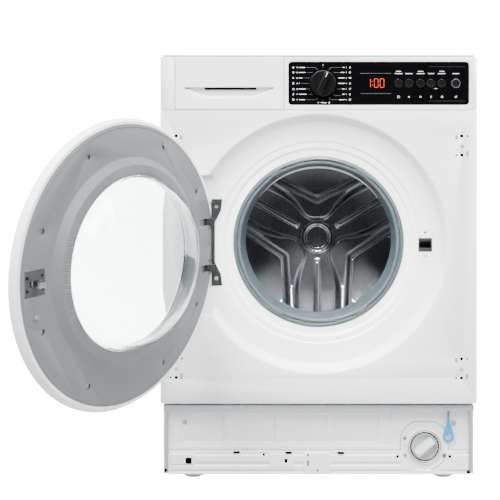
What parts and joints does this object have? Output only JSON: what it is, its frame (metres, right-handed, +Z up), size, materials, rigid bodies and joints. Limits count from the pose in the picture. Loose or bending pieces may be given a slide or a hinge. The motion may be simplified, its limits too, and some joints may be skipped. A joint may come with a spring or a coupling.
{
  "type": "integrated washing machine",
  "caption": "Built-in front-loading washing machine with round glass-bowl door swung open, dial and push-button fascia, detergent drawer and recessed plinth with drain filter.",
  "frame": {"origin": "on the floor at the centre of the four foot pads", "axes": "X to the right seen from the front, Y into the machine, Z up"},
  "size_m": [0.7168, 0.9403, 0.82],
  "materials": {
    "white_enamel": "gloss white enamel",
    "white_plastic": "satin white plastic",
    "galvanised_sheet": "pale grey coated sheet",
    "black_plastic": "matt",
    "dark_cast_metal": "dark grey coating",
    "black_gloss": "high gloss black",
    "circuit_board": "green laminate",
    "silver_plastic": "silver lacquer",
    "blue_tray_plastic": "pale grey tray plastic",
    "grey_plastic": "mid grey",
    "pale_blue_plastic": "pale blue",
    "grey_door_plastic": "pale grey, faint grain",
    "bowl_glass": "clear pressed glass",
    "window_plastic": "clear outer disc",
    "steel": "zinc plated",
    "stainless": "brushed stainless steel",
    "dark_grey_plastic": "dark grey",
    "cast_aluminium": "as cast",
    "tub_plastic": "filled plastic",
    "black_rubber": "matt",
    "grey_rubber": "blue-grey",
    "concrete": "cast concrete"
  },
  "bodies": {
    "root": {"side_panel_left": "galvanised_sheet", "side_panel_right": "galvanised_sheet", "rear_panel": "galvanised_sheet", "top_cover": "galvanised_sheet", "cabinet_frame": "galvanised_sheet", "base_tray": "galvanised_sheet", "front_panel": "white_enamel", "hinge_bracket": "dark_cast_metal", "door_lock": "black_plastic", "control_fascia": "white_plastic", "control_glass": "black_gloss", "control_board": "circuit_board", "dispenser_housing": "grey_plastic", "kick_plate": "white_enamel", "drain_pump": "white_plastic", "suspension_springs": "steel", "damper_cylinders": "grey_plastic", "door_gasket": "grey_rubber", "rear_fittings": "black_plastic", "hoses": "black_rubber", "cabinet_screws": "steel"},
    "tub": {"tub_front": "tub_plastic", "tub_back": "tub_plastic", "drum_bearings": "steel", "heater": "steel", "motor_housing": "cast_aluminium", "drive_belt": "black_rubber", "counterweights": "concrete", "damper_rods": "steel"},
    "drum": {"drum_shell": "stainless", "drum_back": "stainless", "drum_lifters": "dark_grey_plastic", "drum_spider": "cast_aluminium", "drum_pulley": "cast_aluminium"},
    "rotor": {"motor_rotor": "steel"},
    "impeller": {"pump_impeller": "grey_plastic"},
    "door": {"door_shell": "white_plastic", "door_inner_ring": "grey_door_plastic", "door_bowl": "bowl_glass", "door_window": "window_plastic", "door_hinge": "steel", "door_screws": "steel", "latch_block": "dark_grey_plastic"},
    "hook": {"door_hook": "steel"},
    "drawer": {"drawer_front": "white_plastic", "drawer_tray": "blue_tray_plastic"},
    "knob": {"program_knob": "silver_plastic"},
    "strainer": {"filter_strainer": "grey_plastic"},
    "filter": {"filter_cap": "white_plastic"},
    "pull": {"emergency_pull": "pale_blue_plastic"},
    "button_1_body": {"button_1": "silver_plastic"},
    "button_2_body": {"button_2": "silver_plastic"},
    "button_3_body": {"button_3": "silver_plastic"},
    "button_4_body": {"button_4": "silver_plastic"},
    "button_5_body": {"button_5": "silver_plastic"},
    "button_6_body": {"button_6": "silver_plastic"},
    "foot_front_left_body": {"foot_front_left": "white_plastic"},
    "foot_front_right_body": {"foot_front_right": "white_plastic"},
    "foot_rear_left_body": {"foot_rear_left": "white_plastic"},
    "foot_rear_right_body": {"foot_rear_right": "white_plastic"}
  },
  "joints": [
    {"name": "tub_suspension", "type": "slide", "parent": "root", "child": "tub", "axis": [0, 0, 1], "range_m": [-0.008, 0.008], "stiffness_N_per_m": 12000, "springref_m": 0.02031, "deforming": ["suspension_springs", "door_gasket", "hoses"]},
    {"name": "drum_spin", "type": "hinge", "parent": "tub", "child": "drum", "pos_m": [0, 0.13343, 0.42271], "axis": [0, 0.9954, -0.0958], "continuous": true},
    {"name": "motor_spin", "type": "hinge", "parent": "tub", "child": "rotor", "pos_m": [0.15, 0.06487, 0.12793], "axis": [0, 0.9954, -0.0958], "continuous": true},
    {"name": "pump_spin", "type": "hinge", "parent": "root", "child": "impeller", "pos_m": [0.2034, -0.09, 0.0718], "axis": [0, 1, 0], "continuous": true},
    {"name": "door_swing", "type": "hinge", "parent": "root", "child": "door", "pos_m": [-0.2105, -0.2655, 0.4603], "axis": [0, 0, -1], "range_deg": [-116.9, 0]},
    {"name": "hook_tilt", "type": "hinge", "parent": "door", "child": "hook", "pos_m": [-0.398, -0.62956, 0.4603], "axis": [0, 0, 1], "range_deg": [-8, 8], "stiffness_Nm_per_rad": 0.05},
    {"name": "drawer_slide", "type": "slide", "parent": "root", "child": "drawer", "axis": [0, -1, 0], "range_m": [0, 0.2]},
    {"name": "knob_turn", "type": "hinge", "parent": "root", "child": "knob", "pos_m": [0.0081, -0.285, 0.7657], "axis": [0, 1, 0], "continuous": true},
    {"name": "button_1_press", "type": "slide", "parent": "root", "child": "button_1_body", "axis": [0, 1, 0], "range_m": [0, 0.0008], "stiffness_N_per_m": 1200},
    {"name": "button_2_press", "type": "slide", "parent": "root", "child": "button_2_body", "axis": [0, 1, 0], "range_m": [0, 0.0008], "stiffness_N_per_m": 1200},
    {"name": "button_3_press", "type": "slide", "parent": "root", "child": "button_3_body", "axis": [0, 1, 0], "range_m": [0, 0.0008], "stiffness_N_per_m": 1200},
    {"name": "button_4_press", "type": "slide", "parent": "root", "child": "button_4_body", "axis": [0, 1, 0], "range_m": [0, 0.0008], "stiffness_N_per_m": 1200},
    {"name": "button_5_press", "type": "slide", "parent": "root", "child": "button_5_body", "axis": [0, 1, 0], "range_m": [0, 0.0008], "stiffness_N_per_m": 1200},
    {"name": "button_6_press", "type": "slide", "parent": "root", "child": "button_6_body", "axis": [0, 1, 0], "range_m": [0, 0.0008], "stiffness_N_per_m": 1200},
    {"name": "filter_pull", "type": "slide", "parent": "root", "child": "strainer", "axis": [0, -1, 0], "range_m": [0, 0.08]},
    {"name": "filter_turn", "type": "hinge", "parent": "strainer", "child": "filter", "pos_m": [0.2034, -0.24, 0.0718], "axis": [0, -1, 0], "range_deg": [0, 90]},
    {"name": "emergency_pull_down", "type": "slide", "parent": "root", "child": "pull", "axis": [0, 0, -1], "range_m": [0, 0.012], "stiffness_N_per_m": 200},
    {"name": "foot_front_left_height", "type": "slide", "parent": "root", "child": "foot_front_left_body", "axis": [0, 0, -1], "range_m": [0, 0.012]},
    {"name": "foot_front_right_height", "type": "slide", "parent": "root", "child": "foot_front_right_body", "axis": [0, 0, -1], "range_m": [0, 0.012]},
    {"name": "foot_rear_left_height", "type": "slide", "parent": "root", "child": "foot_rear_left_body", "axis": [0, 0, -1], "range_m": [0, 0.012]},
    {"name": "foot_rear_right_height", "type": "slide", "parent": "root", "child": "foot_rear_right_body", "axis": [0, 0, -1], "range_m": [0, 0.012]}
  ],
  "couplings": [
    {"joint": "motor_spin", "follows": "drum_spin", "ratio": 13.679}
  ]
}
